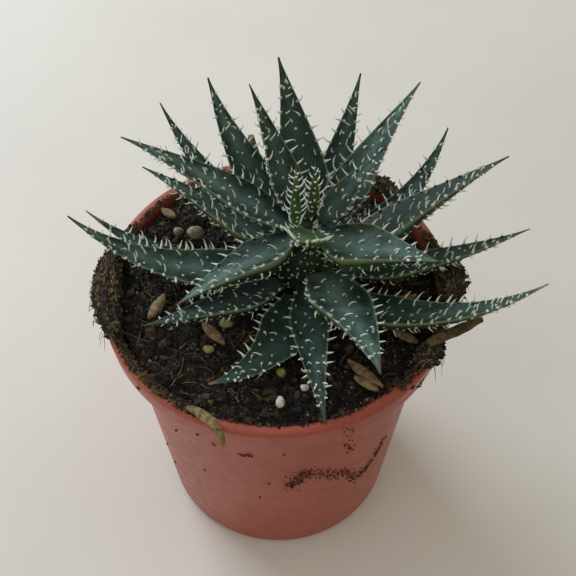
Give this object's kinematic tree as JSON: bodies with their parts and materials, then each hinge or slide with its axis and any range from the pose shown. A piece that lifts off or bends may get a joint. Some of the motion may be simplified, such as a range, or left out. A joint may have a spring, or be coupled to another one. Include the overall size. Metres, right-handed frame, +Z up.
{
  "type": "potted aloe",
  "caption": "Small rosette succulent with toothed, bristly, pointed leaves in a tapered plastic nursery pot with a rolled collar and dark peat soil.",
  "frame": {"origin": "on the pot's own axis, in the plane of its flat underside, where the pot stands", "axes": "+Z up along the pot's axis; -Y towards the viewer of the picture, so the front of the rosette faces -Y; +X to the viewer's right"},
  "size_m": [0.0755, 0.0612, 0.0871],
  "materials": {
    "pot": "satin injection-moulded plastic in a terracotta colour, a little dusty",
    "soil": null,
    "stem": "fleshy green plant stem, matte",
    "leaf": "fleshy dark blue-green leaf with a waxy satin skin, pale spines and dry brown tips",
    "young_leaf": "fleshy yellow-green young leaf, waxy satin",
    "husk": "dry straw-coloured husk, matte with fine ribs",
    "pebble": "small grey pebble, matte",
    "perlite": null,
    "grain": "yellow-green slow-release grain, dull",
    "root_clump": "matted fine roots and peat, rough and matte",
    "bark": "sliver of brown bark, dry",
    "dry_leaf": "withered leaf, papery and brown"
  },
  "bodies": {
    "root": {"pot": "pot", "soil": "soil", "stem": "stem", "leaf_01": "leaf", "leaf_02": "leaf", "leaf_03": "leaf", "leaf_04": "leaf", "leaf_05": "leaf", "leaf_06": "leaf", "leaf_07": "leaf", "leaf_08": "leaf", "leaf_09": "leaf", "leaf_10": "leaf", "leaf_11": "leaf", "leaf_12": "leaf", "leaf_13": "leaf", "leaf_14": "leaf", "leaf_15": "leaf", "leaf_16": "leaf", "leaf_17": "leaf", "leaf_18": "leaf", "leaf_19": "leaf", "leaf_20": "leaf", "leaf_21": "leaf", "leaf_22": "young_leaf", "leaf_23": "young_leaf", "leaf_24": "young_leaf", "husk_1": "husk", "husk_2": "husk", "husk_3": "husk", "husk_4": "husk", "husk_5": "husk", "husk_6": "husk", "husk_7": "husk", "stone_1": "pebble", "stone_2": "pebble", "perlite_1": "perlite", "perlite_2": "perlite", "grain_1": "grain", "grain_2": "grain", "grain_3": "grain", "clump_left": "root_clump", "clump_right": "root_clump", "clump_front_right": "root_clump", "clump_back": "root_clump", "wood_chip": "bark", "dry_leaf": "dry_leaf", "dry_stub": "dry_leaf"}
  },
  "joints": []
}
